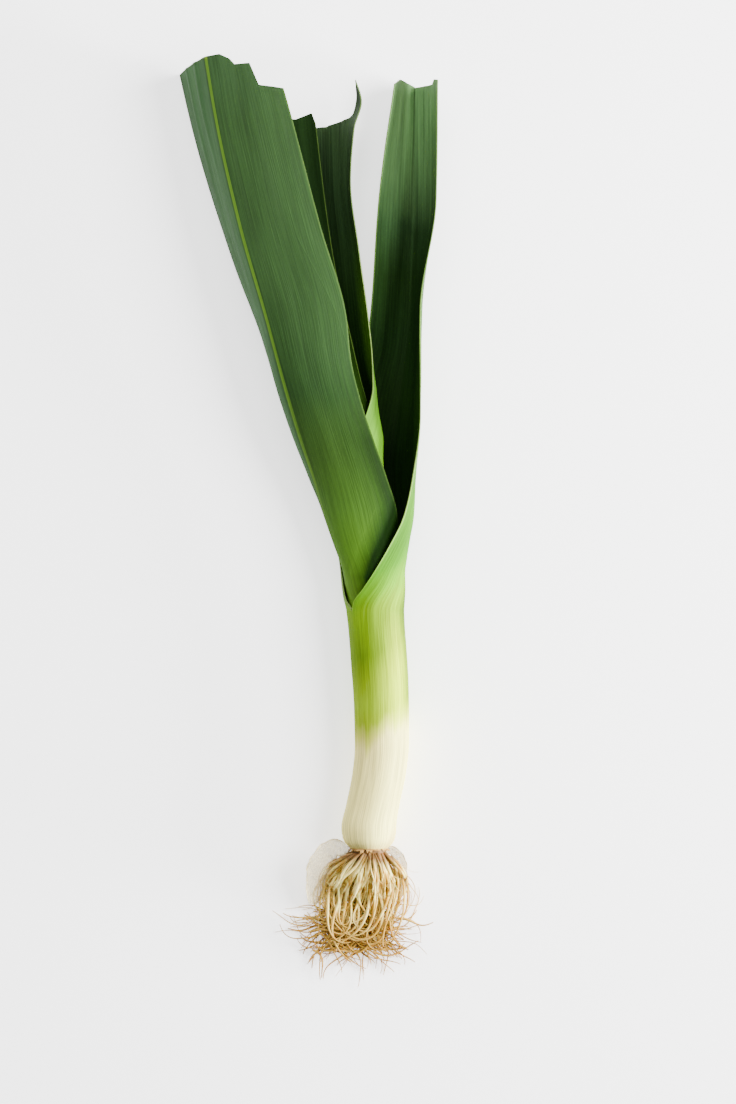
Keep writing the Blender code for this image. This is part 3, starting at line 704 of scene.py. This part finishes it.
# The leaves alternate from layer to layer. Rows: distance, keel x z, front margin x z, back margin x z,
# bulge of the front and of the back half. Pleats: across, width, depth, start. Ends: across, distance.
plainLeaf = {"flute": 0.1, "wave": 0.5, "slot": "green_leaf", "floor": [(0, 0), (440, 0)], "pleats": [],
             "tears": []}
leaves = {
    "leaf_1": {
        "notch": 131, "columns": 96, "slot": "outer_leaf", "seed": 1.7, "wave": 0.6, "cutFrom": 380,
        "pleats": [(-0.45, 0.05, -0.35, 330), (0.4, 0.05, -0.3, 340), (0.62, 0.04, -0.3, 350)],
        "rows": [
            (137, 17.6, 7.8, -7.8, 28.2, -12.8, 20.6, 0.47, 0.45),
            (143, 16.6, 6.6, -3.4, 31.8, -14.2, 18.5, 0.42, 0.38),
            (155, 16.8, 4.8, 4.6, 33.4, -15.5, 7.6, 0.3, 0.2),
            (168, 15.6, 2.4, 12.2, 33.6, -17.4, 3, 0.28, 0.08),
            (183, 13.6, 0.6, 19.6, 32.6, -19.6, 0.6, 0.26, 0.02),
            (203, 12.6, 0, 24.4, 31, -20, 0, 0.2, 0),
            (240, 17, 0, 29, 31, -14, 0.2, 0.1, 0),
            (262, 20, 0, 28.9, 32.4, -7, 2, 0.09, 0.02),
            (280, 22.6, 0, 28.7, 33, -0.8, 8.5, 0.08, 0.08),
            (296, 24.2, 0, 28.9, 33, 1.2, 14.5, 0.08, 0.1),
            (357, 25.9, 0, 37.7, 29, 5.6, 21, 0.07, 0.08),
            (424, 25.9, 0, 38.7, 24, 14.5, 23, 0.06, 0.06),
        ],
        "ends": [(-1, 421), (-0.6, 424.5), (0, 421), (0.7, 421.3), (0.8, 424), (1, 423.3)],
    },
    "leaf_2": {
        "notch": 129, "columns": 100, "seed": 4.2, "flute": 0.07, "wave": 0.6, "cutFrom": 360,
        "pleats": [(-0.3, 0.05, 0.8, 350), (-0.62, 0.06, 0.6, 330), (0.16, 0.05, 0.35, 370),
                   (0.84, 0.04, 0.4, 380)],
        "tears": [{"at": 0.38, "from": 402, "run": 30, "lift": -1.3},
                  {"at": 0.66, "from": 412, "run": 12, "lift": -0.5}],
        "rows": [
            (143, -11.1, 21.9, 15.9, 14.4, 14.6, 8.8, 0.45, 0.46),
            (155, -13.9, 21.6, 16.4, 19, 10.6, 5.4, 0.36, 0.35),
            (166, -18, 21.2, 16.6, 22.6, 8, 4, 0.32, 0.32),
            (183, -23.8, 22, 16.2, 27.6, 4, 3, 0.24, 0.33),
            (205, -30.2, 27, 10.2, 32, -6, 2.4, 0.17, 0.39),
            (224, -36.6, 31.6, 3.6, 33.6, -14, 2.4, 0.13, 0.38),
            (247, -43.6, 35.6, -4, 34, -27, 2, 0.11, 0.33),
            (270, -50.2, 38, -9.3, 33.2, -46, 0.6, 0.09, 0.18),
            (293, -56.5, 39.4, -11.7, 31.8, -62, 0.2, 0.07, 0.07),
            (342, -70.4, 40.4, -25.7, 31, -81, 0, 0.05, 0.03),
            (398, -83.1, 40.8, -40.6, 31, -97.5, 0, 0.05, 0.03),
            (438, -89.6, 40.8, -51, 31, -107, 0, 0.05, 0.03),
        ],
        "floor": [(129, 1.4), (135, 2.1), (240, 2.1), (262, 0), (438, 0)],
        "ends": [(-1, 428.3), (-0.5, 431), (0, 434.3), (0.2, 435.8), (0.33, 433.4), (0.38, 430.5),
                 (0.6, 431.5), (0.66, 419.5), (1, 418.2)],
    },
    "leaf_3": {
        "notch": 214, "columns": 80, "seed": 7.9, "cutFrom": 372, "pleats": [(0.5, 0.06, -0.4, 330)],
        "rows": [
            (219.5, 5.4, 9.6, -11.6, 26.9, -17.2, 18.6, 0.48, 0.45),
            (226, 2.8, 7.4, -7.2, 29.4, -18.8, 14, 0.45, 0.37),
            (240, -5, 4, -0.6, 28.2, -25, 7.4, 0.36, 0.12),
            (255, -11, 4.2, 3, 25.8, -34, 6.2, 0.28, 0.04),
            (270, -14, 4.4, 2.6, 25, -39, 5.6, 0.2, 0.02),
            (290, -16, 3.2, 0.7, 24.6, -43, 5, 0.15, 0.02),
            (331, -19, 1.2, -4.8, 25.4, -48, 4, 0.12, 0),
            (367, -22, 0.6, -9.2, 26, -50, 3.4, 0.1, 0),
            (396, -23, 0.4, -7.2, 26.6, -50, 3.2, 0.1, 0),
            (411, -23.6, 0.3, -3.2, 25.4, -50, 3, 0.1, 0),
            (424, -24, 0.2, -7, 27, -50, 3, 0.1, 0),
        ],
        "ends": [(-1, 396), (0, 399.5), (0.62, 403), (0.72, 404.5), (0.78, 412), (0.88, 418.5),
                 (1, 423)],
    },
    "leaf_4": {
        "notch": 216, "columns": 80, "seed": 11.3, "cutFrom": 366, "pleats": [(0.45, 0.06, -0.4, 330)],
        "rows": [
            (222, -13.6, 21.4, 5, 14.2, 3.2, 10.2, 0.47, 0.48),
            (228, -15.2, 20.8, 4.7, 17.4, 3.2, 10.8, 0.37, 0.44),
            (240, -20, 21.4, 1.4, 23.2, -5, 6.4, 0.3, 0.38),
            (258, -26, 22.4, -3.8, 23.6, -13, 6.8, 0.24, 0.32),
            (284, -34, 25, -9.8, 23, -32, 7.4, 0.15, 0.32),
            (322, -42, 27, -18.2, 20, -54, 4.4, 0.12, 0.1),
            (366, -48, 27, -24.8, 18, -62, 2, 0.1, 0.06),
            (405, -53, 27, -29.4, 17, -69, 2, 0.1, 0.05),
        ],
        "ends": [(-1, 396), (0, 402), (0.5, 401.5), (0.92, 405.5), (1, 399.5)],
    },
    "leaf_5": {
        "notch": 234, "columns": 64, "slot": "young_leaf", "seed": 15.1, "flute": 0.12, "cutFrom": 340,
        "rows": [
            (248, -4, 11.4, -10, 23.4, -17, 15.6, 0.47, 0.42),
            (264, -14, 9.2, -11.6, 21.2, -26, 15, 0.3, 0.2),
            (290, -25, 8.4, -18, 17.4, -35, 17, 0.16, 0.12),
            (330, -36, 7.4, -28, 17, -46, 17, 0.12, 0.1),
            (372, -43, 7.4, -36, 17, -53, 17, 0.12, 0.1),
        ],
        "ends": [(-1, 366), (0, 371), (1, 368)],
    },
}


def makeLeaf(name, leaf):
    across, distances, along, points, normals = leafSurface(leaf)
    piece = addPiece(name + "_blade", bpy.ops.mesh.primitive_grid_add, x_subdivisions=leaf["columns"],
                     y_subdivisions=len(distances) - 1, size=2)
    tearSheet(piece, leaf, distances)
    placeSheet(piece, leaf, across, distances, along, points, normals)
    weldSeam(piece, leaf["notch"])
    faceOutwards(piece, leaf)
    look = {**leafLook, **outsides[name]}
    inner = {**leafLook, **inside, **insides.get(name, {}), "opens": look["opens"]}
    piece.data.materials.append(leafMaterial(name + "_outside", look))
    piece.data.materials.append(leafMaterial(name + "_inside", inner))
    piece.data.materials.append(rimMaterial(name + "_edge", look))
    thicken(piece, sheet["wall"], -1, use_even_offset=True, vertex_group="wall",
            thickness_vertex_group=sheet["marginWall"], material_offset=sheet["insideIndex"],
            material_offset_rim=sheet["rimIndex"])
    easeInnerFold(piece, leaf)
    finishPiece(piece, name, leaf["slot"], 50)


for layer, (name, leaf) in enumerate(leaves.items()):
    turn, side = ((-33.75, 1), (146.25, -1))[layer % 2]
    makeLeaf(name, {**plainLeaf, **leaf, "layer": layer, "turn": turn, "side": side})


# The heart: a fine spear in the middle of the shaft.
heart = {
    "sides": 28, "layer": 5, "slack": 0.35, "slot": "young_leaf", "free": (216, 338, 50), "closedTo": 212,
    "rows": [(224, -4.9, 16.6, 5.4, 5.4), (240, -7.4, 16.9, 4.4, 4.4), (256, -12.6, 17, 3.4, 3.6),
             (276, -20.6, 16.4, 2.8, 3.2), (300, -28.8, 15.6, 2.4, 3), (338, -39.2, 15.2, 0.7, 0.8)],
}


def makeHeart():
    foot = shaft["feet"][heart["layer"]]
    rings = np.array([ring for ring in shaft["rings"] if foot <= ring < heart["closedTo"]], dtype=float)
    middle, radius = shaftCircle(rings, heart["layer"])
    radius = radius - heart["slack"]
    lead = np.stack([rings, middle[:, 0], middle[:, 1], radius, radius], axis=1)
    table = np.concatenate([lead, np.array(heart["rows"], dtype=float)])
    distances = np.concatenate([rings, np.linspace(*heart["free"])])
    spear = smoothAt(table, distances)
    piece = addPiece("heart_spear", bpy.ops.mesh.primitive_cylinder_add, vertices=heart["sides"], radius=1,
                     depth=2, end_fill_type="NGON")
    cutRings(piece, len(distances) - 2)
    grain = piece.data.attributes.new("grain", "FLOAT_VECTOR", "POINT")
    for vertex in piece.data.vertices:
        side, fold, height = vertex.co
        row = gridIndex(height, len(distances) - 1)
        x, z, wide, tall = spear[row]
        grain.data[vertex.index].vector = (side, distances[row] * mm, fold)
        vertex.co = toFrame([x - wide * side, distances[row], z + tall * fold])
    look = {**leafLook, **outsides["leaf_5"], "keel": 0}
    finishPiece(piece, "heart_leaf", heart["slot"], 50, leafMaterial("heart_skin", look))


makeHeart()


# The base plate: its rings are a distance along and a radius, from inside the sheath to its underside.
plate = {
    "sides": 48, "roughScale": 260, "rough": 0.5,
    "rings": [(2.4, 6.6), (1.2, 6.8), (1.1, 7.6), (0.2, 7.6), (0.1, 9.2), (-1, 9.4), (-2.4, 8.8),
              (-3.6, 7.4), (-4.5, 5.2), (-5, 2)],
}
# Main roots, thin ones among them, sprouts that leave the main ones, and the tangle at the far end.
roots = {
    "count": 120, "seed": 11, "steps": 28, "reach": 8.9, "depth": (1.6, 2.4), "length": (42, 68),
    "radius": (0.68, 1.05), "drift": -0.2, "spread": 0.95, "curl": (0.4, 2.8), "curlFrom": (0.55, 0.8),
    "sway": (0.05, 0.28), "pile": 11, "fall": 3.6, "steepest": -1.25, "clear": 1.1,
}
thin = {**roots, "count": 110, "length": (34, 70), "radius": (0.2, 0.4), "spread": 1,
        "curl": (0.2, 2.2), "pile": 8}
sprouts = {"count": 190, "length": (6, 20), "radius": (0.14, 0.28), "heading": (0.5, 1.4), "steps": 9,
           "bend": 2, "fall": -0.35, "clear": 0.5}
tangle = {"count": 270, "length": (12, 30), "radius": (0.25, 0.62), "heading": (1.1, 1.9), "steps": 16,
          "bend": 1.8, "fall": -0.06, "clear": 0.5, "across": (-8, 11), "down": (-57, -36),
          "up": (0.8, 7)}
# Where a root's skin changes, in millimetres: bark along, tips along, deep over the table (painted shade
# low in the pile), paler across.
rootLook = {
    "bark": (-12.2, -3.8), "tips": (-32, -48), "deep": (16, 5), "paler": (6, -16),
    "streakScale": 240, "streakStretch": 0.35, "grainScale": 900, "wobble": 0.012,
}


def plateMiddle():
    middle, _ = shaftCircle(np.array([0]), 0)
    return middle[0]


def makePlate():
    x, z = plateMiddle()
    y, radius = plate["rings"][0]
    piece = addPiece("base_plate", bpy.ops.mesh.primitive_circle_add, vertices=plate["sides"],
                     radius=radius * mm, fill_type="NGON", location=toFrame([x, y, z]),
                     rotation=(radians(90), 0, 0))
    editMesh(piece, "FACE")
    bpy.ops.mesh.select_all(action="SELECT")
    for nextY, nextRadius in plate["rings"][1:]:
        bpy.ops.mesh.extrude_region_move(TRANSFORM_OT_translate={"value": (0, (nextY - y) * mm, 0)})
        share = nextRadius / radius
        bpy.ops.transform.resize(value=(share, share, share), center_override=toFrame([x, nextY, z]))
        y, radius = nextY, nextRadius
    bpy.ops.mesh.select_all(action="SELECT")
    bpy.ops.mesh.normals_make_consistent(inside=False)
    leaveEdit()
    pick(piece)
    bpy.ops.object.transform_apply(location=True, rotation=True, scale=True)
    for vertex in piece.data.vertices:
        rough = noise.noise(vertex.co * plate["roughScale"]) * plate["rough"] * mm
        vertex.co += Vector((0, rough, 0))
    return piece


def rootPath(draw, ring, angle, look):
    # one root as points: it bows out of the plate, droops to the table, comes back in and curls
    x, z = plateMiddle()
    offX = look["reach"] * ring * cos(angle)
    offZ = look["reach"] * ring * sin(angle)
    atRim, toMiddle = look["depth"]
    point = np.array([x + offX, -atRim - toMiddle * (1 - ring), z + offZ])
    length = draw.uniform(*look["length"])
    lean = look["spread"] * offX / look["reach"] + draw.uniform(-0.25, 0.25)
    rise = 0.6 * offZ / look["reach"] + draw.uniform(-0.1, 0.3)
    curl = draw.choice((-1, 1, -1 if lean > 0 else 1)) * draw.uniform(*look["curl"])
    curlFrom = draw.uniform(*look["curlFrom"])
    sway, phase, turns = draw.uniform(*look["sway"]), draw.uniform(0, 6.3), draw.uniform(0.8, 2.2)
    pile = 0.7 + look["pile"] * draw.random() ** 1.4
    steps = look["steps"]
    points = [point]
    for i in range(steps):
        s = (i + 1) / steps
        heading = look["drift"] + lean * cos(2.7 * s) + sway * sin(turns * 6.28 * s + phase)
        heading += curl * max(0, (s - curlFrom) / (1 - curlFrom)) ** 1.3
        above = point[2] - pile
        if above > 0:
            rise = max(rise - look["fall"] / steps, -0.15 - above / 9, look["steepest"])
        else:
            rise = rise * 0.5 - above / 20
        flat = cos(rise)
        ahead = np.array([sin(heading) * flat, -cos(heading) * flat, sin(rise)])
        point = point + length / steps * ahead
        point[2] = max(point[2], look["clear"])
        points.append(point)
    return points


def wander(draw, start, heading, look):
    # a thin root that strays over the others from a point, turning one way and then back
    length = draw.uniform(*look["length"])
    turn, phase = draw.uniform(-look["bend"], look["bend"]), draw.uniform(0, 6.3)
    steps = look["steps"]
    point = start.copy()
    points = []
    for i in range(steps):
        points.append(point.copy())
        heading += (turn + 1.6 * sin(phase + 7 * i / steps)) / steps
        point = point + length / steps * np.array([sin(heading), -cos(heading), look["fall"]])
        point[2] = max(point[2], look["clear"])
    return points


def rootCurve(name, strands, sides):
    # all strands as one curve with a round bevel, thinner towards their tips
    data = bpy.data.curves.new(name, "CURVE")
    data.dimensions = "3D"
    data.bevel_depth = mm
    data.bevel_resolution = sides
    data.use_fill_caps = True
    for points, radius in strands:
        spline = data.splines.new("POLY")
        spline.points.add(len(points) - 1)
        for i, place in enumerate(points):
            share = i / (len(points) - 1)
            spline.points[i].co = (*toFrame(place), 1)
            spline.points[i].radius = radius * (1.15 - 0.75 * share ** 1.3)
    piece = bpy.data.objects.new(name, data)
    bpy.context.scene.collection.objects.link(piece)
    pick(piece)
    bpy.ops.object.convert(target="MESH")
    return bpy.context.object


def mainRoots(draw):
    # spread over the plate as seeds are in a flower head
    strands = []
    for index in range(roots["count"]):
        ring = sqrt((index + 0.5) / roots["count"])
        points = rootPath(draw, ring, index * radians(137.5), roots)
        strands.append((points, draw.uniform(*roots["radius"])))
    return strands


def fineRoots(draw, strands):
    fine = []
    for _ in range(thin["count"]):
        ring = sqrt(draw.random())
        points = rootPath(draw, ring, draw.uniform(0, 6.28), thin)
        fine.append((points, draw.uniform(*thin["radius"])))
    for _ in range(sprouts["count"]):
        parent = draw.choice(strands)[0]
        start = draw.randrange(6, len(parent) - 2)
        along = parent[start + 1] - parent[start]
        heading = atan2(along[0], -along[1]) + draw.choice((-1, 1)) * draw.uniform(*sprouts["heading"])
        points = wander(draw, parent[start], heading, sprouts)
        fine.append((points, draw.uniform(*sprouts["radius"])))
    for _ in range(tangle["count"]):
        start = np.array([draw.gauss(*tangle["across"]), draw.uniform(*tangle["down"]),
                          draw.uniform(*tangle["up"])])
        heading = draw.choice((-1, 1)) * draw.uniform(*tangle["heading"])
        points = wander(draw, start, heading, tangle)
        fine.append((points, draw.uniform(*tangle["radius"])))
    return fine


def rootMaterial(name, dark, middle, light, tips):
    # brown where the roots leave the plate, straw and cream further out, golden at the tips, and painted
    # shade that turns them to the middle tone low in the pile
    material, tree, shader = newMaterial(name, {
        "Roughness": 0.6, "Specular IOR Level": 0.3, "Subsurface Weight": 0.15, "Subsurface Scale": 0.002})
    place = addNode(tree, "TexCoord").outputs["Object"]
    x, y, z = splitAxes(place)
    streaks = noiseNode(stretched(place, rootLook["streakStretch"]), rootLook["streakScale"], 2)
    fine = noiseNode(place, rootLook["grainScale"], 2)
    right, left = rootLook["paler"]
    paler = mathNode("ADD", streaks, mmRange(x, plantX + right, plantX + left, 0, 0.1))
    colour = rampNode(paler, [(0.42, middle), (0.58, light)])
    # painted shade: near the table the skin turns to the middle tone, as if the roots above shaded it
    colour = mix(mmRange(z, *rootLook["deep"], 0, 0.85), colour, middle)
    near, far = rootLook["tips"]
    colour = mix(mmRange(y, plantY + near, plantY + far, 0, 0.85), colour, tips)
    wobbled = mathNode("ADD", y, swing(streaks, rootLook["wobble"]))
    far, near = rootLook["bark"]
    colour = mix(mmRange(wobbled, plantY + far, plantY + near), colour, dark)
    colour = toned(colour, remap(fine, 0.3, 0.7, 0.86, 1.1))
    tree.links.new(colour, shader.inputs["Base Color"])
    addBump(shader, fine, 0.5, 0.2)
    return material


draw = random.Random(roots["seed"])
straw = (0.94, 0.8, 0.27)
gold = (0.46, 0.26, 0.02)
bark = (0.15, 0.072, 0.013)
amber = (0.31, 0.16, 0.012)
plateObject = makePlate()
strands = mainRoots(draw)
rootObject = rootCurve("roots", strands, 2)
fineObject = rootCurve("fine_roots", fineRoots(draw, strands), 1)
plateBark = rootMaterial("plate_bark", bark, (0.2, 0.08, 0.02), (0.34, 0.17, 0.05), amber)
rootSkin = rootMaterial("root_skin", bark, gold, straw, amber)
fineSkin = rootMaterial("fine_root_skin", bark, gold, straw, amber)
for each, skin in ((plateObject, plateBark), (rootObject, rootSkin), (fineObject, fineSkin)):
    finishPiece(each, "root_tuft", "root", 60, skin)


# Dry skin: two thin films that stand off the base (path: x, y, z, width) and a torn frill round its rim.
films = {
    "dry_skin_left": {
        "path": [(-7, -1.6, 15, 4), (-12, -1, 17, 8), (-17, 0.6, 18, 12), (-22, -1.4, 16.5, 15),
                 (-25.6, -7, 14, 16), (-27.8, -15, 11, 15), (-29.2, -23, 8.5, 11), (-30.6, -31, 6, 5)],
        "tilt": 0.85, "seed": 3.1, "turn": 1},
    "dry_skin_right": {
        "path": [(8.2, -1.5, 14, 4), (12.4, -0.4, 14, 7), (16.4, -4, 12.5, 9), (18.6, -11, 10, 10),
                 (18.6, -19, 7, 8), (16.6, -27, 5.5, 4)],
        "tilt": 0.7, "seed": 8.6, "turn": -1},
}
filmSheet = {
    "steps": 56, "rows": 12, "thickness": 0.12, "ragged": 0.25, "curve": 0.36, "slope": 0.7, "sag": 0.8,
    "clear": 0.4, "opacity": 0.42, "colour": (0.66, 0.54, 0.26), "rib": (0.94, 0.85, 0.56),
}
frill = {
    "sides": 160, "rows": 6, "thickness": 0.25, "radius": 10.15, "length": 1.3, "from": 0.75, "flare": 1.7,
    "tears": 7, "threads": 34, "colour": (0.22, 0.1, 0.025), "rib": (0.52, 0.31, 0.09),
}


def filmMaterial(name, look):
    # thin dry skin: ribbed, and where it has an opacity clearer in its middle than along its edges
    material, tree, shader = newMaterial(name, {"Roughness": 0.5, "Specular IOR Level": 0.3})
    coordinates = addNode(tree, "TexCoord")
    ribs = noiseNode(stretched(coordinates.outputs["Object"], 0.25), 1300, 2)
    tone = mix(remap(ribs, 0.4, 0.65), look["colour"], look["rib"])
    tree.links.new(tone, shader.inputs["Base Color"])
    if "opacity" in look:
        crosswise = splitAxes(coordinates.outputs["UV"])[1]
        offMiddle = mathNode("ABSOLUTE", mathNode("SUBTRACT", crosswise, 0.5))
        edge = remap(offMiddle, 0.36, 0.49, look["opacity"], 0.95, kind="SMOOTHSTEP")
        ribbed = remap(ribs, 0.45, 0.7, 0, 0.3)
        tree.links.new(mathNode("ADD", edge, ribbed, clamp=True), shader.inputs["Alpha"])
    addBump(shader, ribs, 0.38, 0.2)
    return material


def finishFilm(piece, look, skinName, offset):
    # gives a film its thickness and skin
    thicken(piece, look["thickness"], offset)
    finishPiece(piece, "root_tuft", "root", 40, filmMaterial(skinName, look))


def makeFilm(name, look):
    # a strip along its path, tilted so that it shows from above, with ragged edges
    path = np.array(look["path"], dtype=float)
    table = np.concatenate([np.arange(len(path))[:, None], path], axis=1)
    line = smoothAt(table, np.linspace(0, len(path) - 1, look["steps"] + 1))
    ahead = np.gradient(line[:, 0:2], axis=0)
    ahead /= np.linalg.norm(ahead, axis=1, keepdims=True)
    piece = addPiece(name, bpy.ops.mesh.primitive_grid_add, x_subdivisions=look["steps"],
                     y_subdivisions=look["rows"], size=2)
    for vertex in piece.data.vertices:
        i = gridIndex(vertex.co.x, look["steps"])
        share = vertex.co.y / 2
        x, y, z, width = line[i]
        width *= 1 + look["ragged"] * noise.noise(Vector((i * 0.21, 3 * share, look["seed"])))
        sag = noise.noise(Vector((i * 0.16, share * 2, look["seed"] + 5))) * look["sag"]
        across = share * width * look["tilt"] - look["curve"] * (0.25 - share * share) * width
        inX, inY = -look["turn"] * ahead[i][1], look["turn"] * ahead[i][0]
        height = max(z - share * width * look["slope"] + sag, look["clear"])
        vertex.co = toFrame([x + inX * across + sag * 0.4, y + inY * across, height])
    finishFilm(piece, look, name + "_skin", -1)


def makeFrill():
    # a ring of torn skin that hangs from the rim of the base
    x, z = plateMiddle()
    piece = addPiece("base_frill", bpy.ops.mesh.primitive_cylinder_add, vertices=frill["sides"], radius=1,
                     depth=2, end_fill_type="NOTHING")
    cutRings(piece, frill["rows"] - 1)
    for vertex in piece.data.vertices:
        share = (vertex.co.z + 1) / 2
        angle = atan2(vertex.co.y, vertex.co.x)
        c, s = cos(angle), sin(angle)
        torn = noise.noise(Vector((c * frill["tears"], s * frill["tears"], 2)))
        fine = noise.noise(Vector((c * frill["threads"], s * frill["threads"], 5)))
        length = frill["length"] * max(0.1, 0.7 + 1.5 * torn + 0.9 * fine)
        radius = frill["radius"] + share * (frill["flare"] * (0.6 + 1.2 * torn) + 0.5 * fine)
        vertex.co = toFrame([x - radius * c, frill["from"] - length * share, z + radius * s])
    finishFilm(piece, frill, "frill_skin", 0)


for name, look in films.items():
    makeFilm(name, {**filmSheet, **look})
makeFrill()


# Floor, light and camera.
stage = {
    "floor": 4, "under": 0.0004, "glow": 1.4, "world": 0.3, "distance": 2.6, "height": 0.6072,
    "aim": [0, 163.9, 20],
    "lights": {"key": ((1.3, 0.35, 1.2), 0.9, 100), "fill": ((-0.3, 1.2, 1.6), 1.6, 55),
               "edge": ((1.8, -0.3, 0.32), 0.5, 160)},
}


def makeFloor():
    floor = addPiece("floor", bpy.ops.mesh.primitive_plane_add, size=stage["floor"],
                     location=(0, 0, -stage["under"]))
    material, _, _ = newMaterial("floor_paper", {
        "Roughness": 0.7, "Specular IOR Level": 0.2, "Base Color": (0.9, 0.9, 0.9, 1),
        "Emission Color": (1, 1, 1, 1), "Emission Strength": stage["glow"]})
    floor.data.materials.append(material)


def makeLight(name, place, size, energy):
    lamp = addPiece(name, bpy.ops.object.light_add, type="AREA", location=place)
    lamp.data.size = size
    lamp.data.energy = energy
    aim = Vector((0, 0, 0)) - lamp.location
    lamp.rotation_euler = aim.to_track_quat("-Z", "Y").to_euler()


def makeCamera():
    eye = addPiece("camera", bpy.ops.object.camera_add, rotation=(0, 0, 0),
                   location=toFrame(stage["aim"]) + np.array([0, 0, stage["distance"]]))
    eye.data.lens = eye.data.sensor_width * stage["distance"] / stage["height"]
    bpy.context.scene.camera = eye


makeFloor()
for name, (place, size, energy) in stage["lights"].items():
    makeLight(name, place, size, energy)
world = bpy.data.worlds.new("studio")
bpy.context.scene.world = world
world.use_nodes = True
sky = world.node_tree.nodes["Background"]
sky.inputs["Color"].default_value = (1, 1, 1, 1)
sky.inputs["Strength"].default_value = stage["world"]
makeCamera()
print("stage ready")
